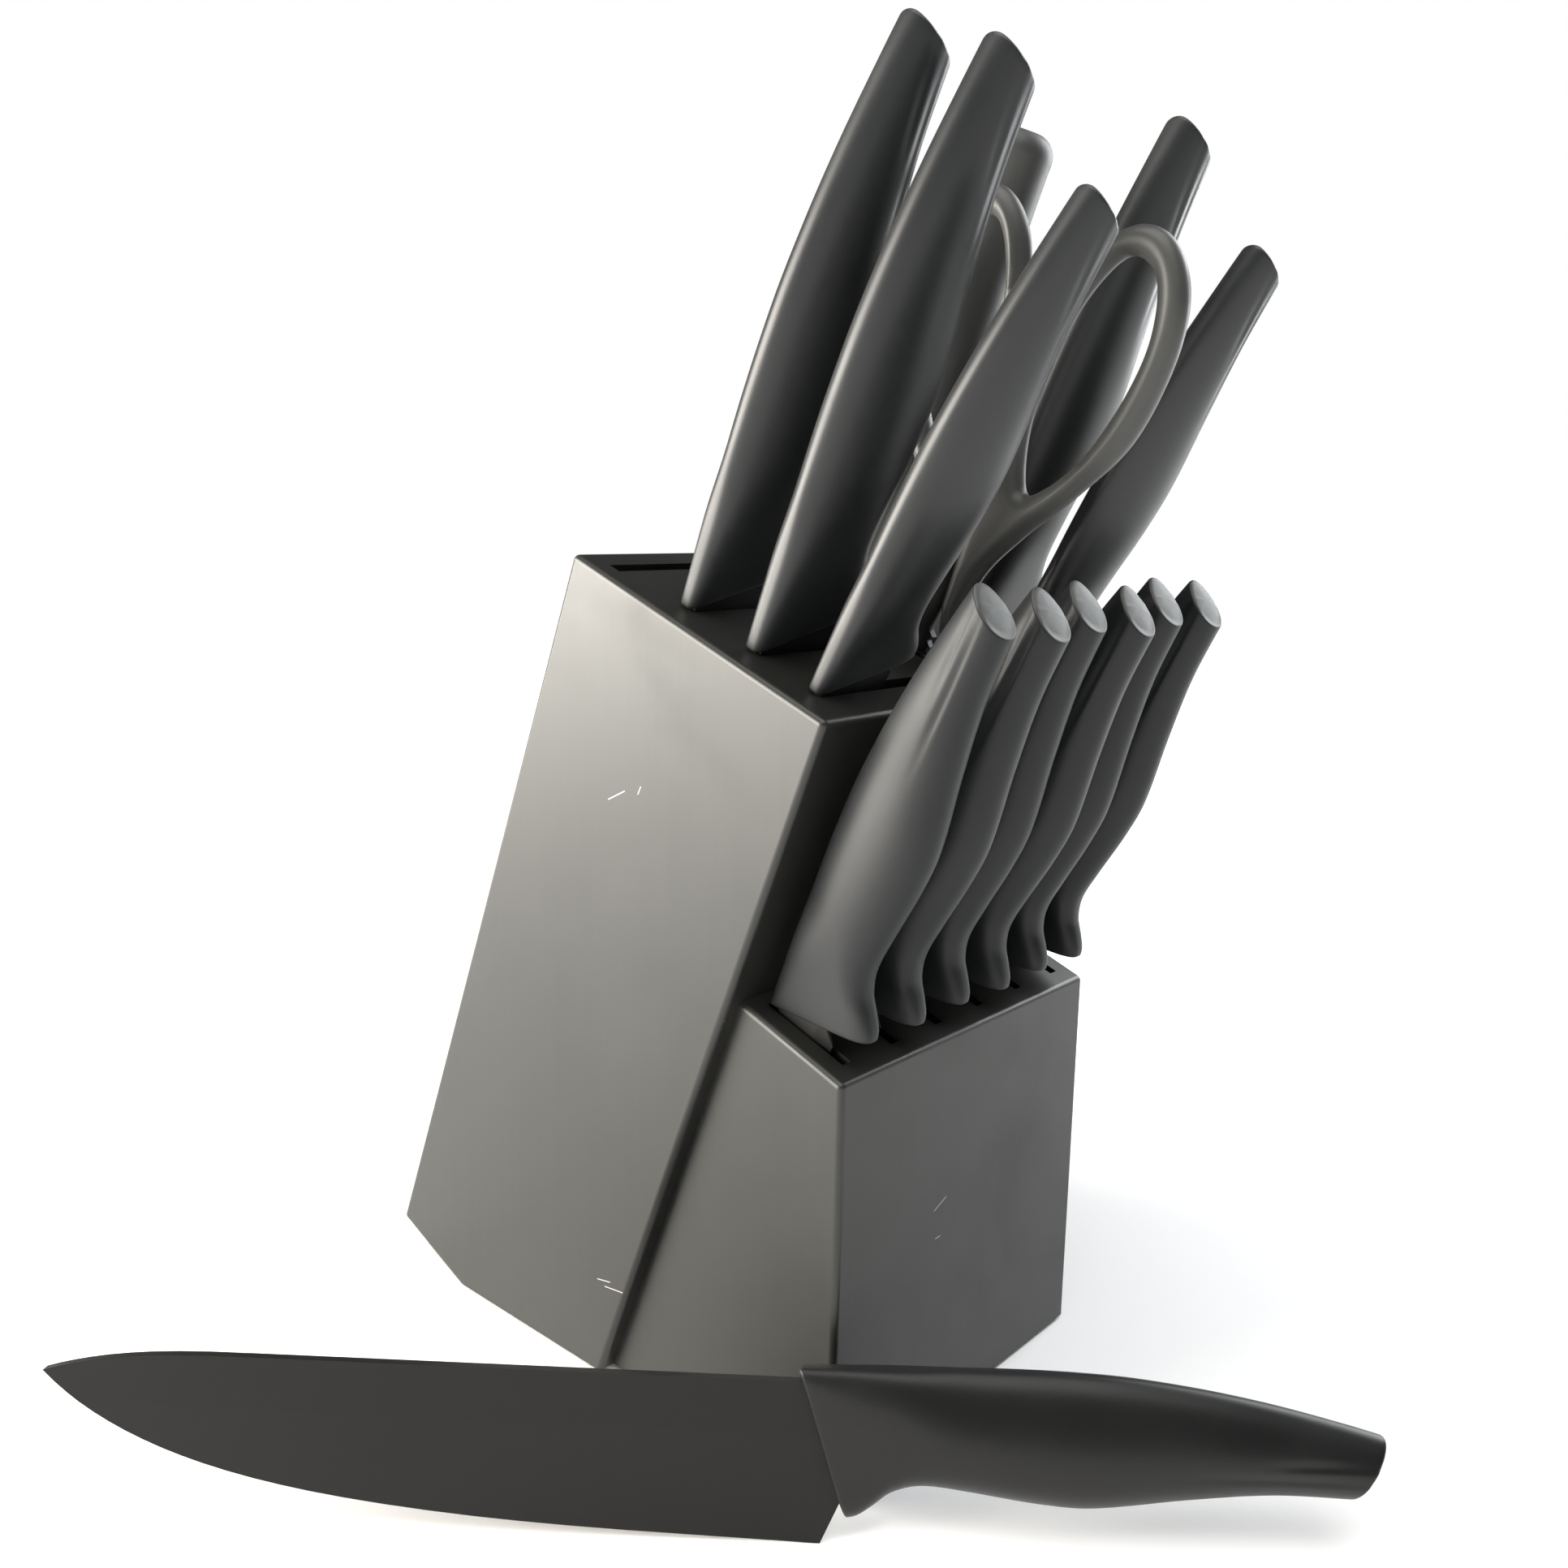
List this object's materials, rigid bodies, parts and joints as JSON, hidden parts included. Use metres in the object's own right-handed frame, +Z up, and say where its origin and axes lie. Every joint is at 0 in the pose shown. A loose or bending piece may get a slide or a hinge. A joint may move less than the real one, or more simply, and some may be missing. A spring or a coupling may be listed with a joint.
{
  "type": "knife block",
  "caption": "Stepped black knife block with kitchen knives, steak knives, honing steel and scissors in sloping slots, and a chef's knife leaning against its front corner.",
  "frame": {"origin": "middle of the block's footprint, at the underside of its non-slip mat, on the table", "axes": "+X to the right across the block, +Y to its back, +Z up; the slots lean towards -Y"},
  "size_m": [0.2381, 0.2755, 0.3417],
  "materials": {
    "block_paint": "satin black lacquer over wood",
    "plain_wood": "bare",
    "mat_rubber": "matt",
    "blade_coating": "matt black coating on steel",
    "handle_plastic": "satin",
    "steel": "fine lengthwise grooves",
    "shear_coating": "matt black coating on steel",
    "scissors_plastic": "satin"
  },
  "bodies": {
    "block": {"left_board_1": "block_paint", "left_board_2": "block_paint", "left_board_3": "block_paint", "left_board_4": "block_paint", "left_board_5": "block_paint", "left_board_6": "block_paint", "right_board_1": "block_paint", "right_board_2": "block_paint", "right_board_3": "block_paint", "right_board_4": "block_paint", "right_board_5": "block_paint", "step_board_1": "block_paint", "step_board_2": "block_paint", "step_board_3": "block_paint", "step_board_4": "block_paint", "step_board_5": "block_paint", "step_board_6": "block_paint", "step_board_7": "block_paint", "left_spacers": "block_paint", "right_spacers": "block_paint", "core_spacers": "block_paint", "step_spacers": "block_paint", "dowels": "plain_wood", "non_slip_mat": "mat_rubber"},
    "bread_knife": {"bread_knife_blade": "blade_coating", "bread_knife_handle": "handle_plastic"},
    "santoku_knife": {"santoku_knife_blade": "blade_coating", "santoku_knife_handle": "handle_plastic"},
    "utility_knife": {"utility_knife_blade": "blade_coating", "utility_knife_handle": "handle_plastic"},
    "slicing_knife": {"slicing_knife_blade": "blade_coating", "slicing_knife_handle": "handle_plastic"},
    "paring_knife": {"paring_knife_blade": "blade_coating", "paring_knife_handle": "handle_plastic"},
    "steak_knife_1": {"steak_knife_1_blade": "blade_coating", "steak_knife_1_handle": "handle_plastic"},
    "steak_knife_2": {"steak_knife_2_blade": "blade_coating", "steak_knife_2_handle": "handle_plastic"},
    "steak_knife_3": {"steak_knife_3_blade": "blade_coating", "steak_knife_3_handle": "handle_plastic"},
    "steak_knife_4": {"steak_knife_4_blade": "blade_coating", "steak_knife_4_handle": "handle_plastic"},
    "steak_knife_5": {"steak_knife_5_blade": "blade_coating", "steak_knife_5_handle": "handle_plastic"},
    "steak_knife_6": {"steak_knife_6_blade": "blade_coating", "steak_knife_6_handle": "handle_plastic"},
    "chef_knife": {"chef_knife_blade": "blade_coating", "chef_knife_handle": "handle_plastic"},
    "honing_steel": {"honing_steel_rod": "steel", "honing_steel_handle": "handle_plastic"},
    "scissors_back": {"scissors_back_blade": "shear_coating", "scissors_back_handle": "scissors_plastic", "scissors_pivot_screw": "shear_coating", "scissors_pivot_nut": "shear_coating"},
    "scissors_front": {"scissors_front_blade": "shear_coating", "scissors_front_handle": "scissors_plastic"}
  },
  "joints": [
    {"name": "bread_knife_pull", "type": "slide", "parent": "block", "child": "bread_knife", "axis": [0, -0.3665, 0.9304], "range_m": [0, 0.205]},
    {"name": "santoku_knife_pull", "type": "slide", "parent": "block", "child": "santoku_knife", "axis": [0, -0.3665, 0.9304], "range_m": [0, 0.18]},
    {"name": "utility_knife_pull", "type": "slide", "parent": "block", "child": "utility_knife", "axis": [0, -0.4772, 0.8788], "range_m": [0, 0.13]},
    {"name": "slicing_knife_pull", "type": "slide", "parent": "block", "child": "slicing_knife", "axis": [0, -0.3665, 0.9304], "range_m": [0, 0.205]},
    {"name": "paring_knife_pull", "type": "slide", "parent": "block", "child": "paring_knife", "axis": [0, -0.4772, 0.8788], "range_m": [0, 0.1]},
    {"name": "steak_knife_1_pull", "type": "slide", "parent": "block", "child": "steak_knife_1", "axis": [0, -0.3923, 0.9198], "range_m": [0, 0.11]},
    {"name": "steak_knife_2_pull", "type": "slide", "parent": "block", "child": "steak_knife_2", "axis": [0, -0.4131, 0.9107], "range_m": [0, 0.11]},
    {"name": "steak_knife_3_pull", "type": "slide", "parent": "block", "child": "steak_knife_3", "axis": [0, -0.3987, 0.9171], "range_m": [0, 0.11]},
    {"name": "steak_knife_4_pull", "type": "slide", "parent": "block", "child": "steak_knife_4", "axis": [0, -0.4226, 0.9063], "range_m": [0, 0.11]},
    {"name": "steak_knife_5_pull", "type": "slide", "parent": "block", "child": "steak_knife_5", "axis": [0, -0.4019, 0.9157], "range_m": [0, 0.11]},
    {"name": "steak_knife_6_pull", "type": "slide", "parent": "block", "child": "steak_knife_6", "axis": [0, -0.4179, 0.9085], "range_m": [0, 0.11]},
    {"name": "honing_steel_pull", "type": "slide", "parent": "block", "child": "honing_steel", "axis": [0, -0.3665, 0.9304], "range_m": [0, 0.19]},
    {"name": "scissors_pull", "type": "slide", "parent": "block", "child": "scissors_back", "axis": [0, -0.3173, 0.9483], "range_m": [0, 0.2]},
    {"name": "scissors_open", "type": "hinge", "parent": "scissors_back", "child": "scissors_front", "pos_m": [0.0071, -0.04506, 0.19068], "axis": [1, 0, 0], "range_deg": [0, 30]},
    {"name": "chef_knife_lift", "type": "slide", "parent": "block", "child": "chef_knife", "axis": [-0.5353, -0.462, 0.7071], "range_m": [0, 0.15]}
  ],
  "couplings": [
    {"joint": "scissors_open", "follows": "scissors_pull", "rad_per_m": 2.617}
  ]
}
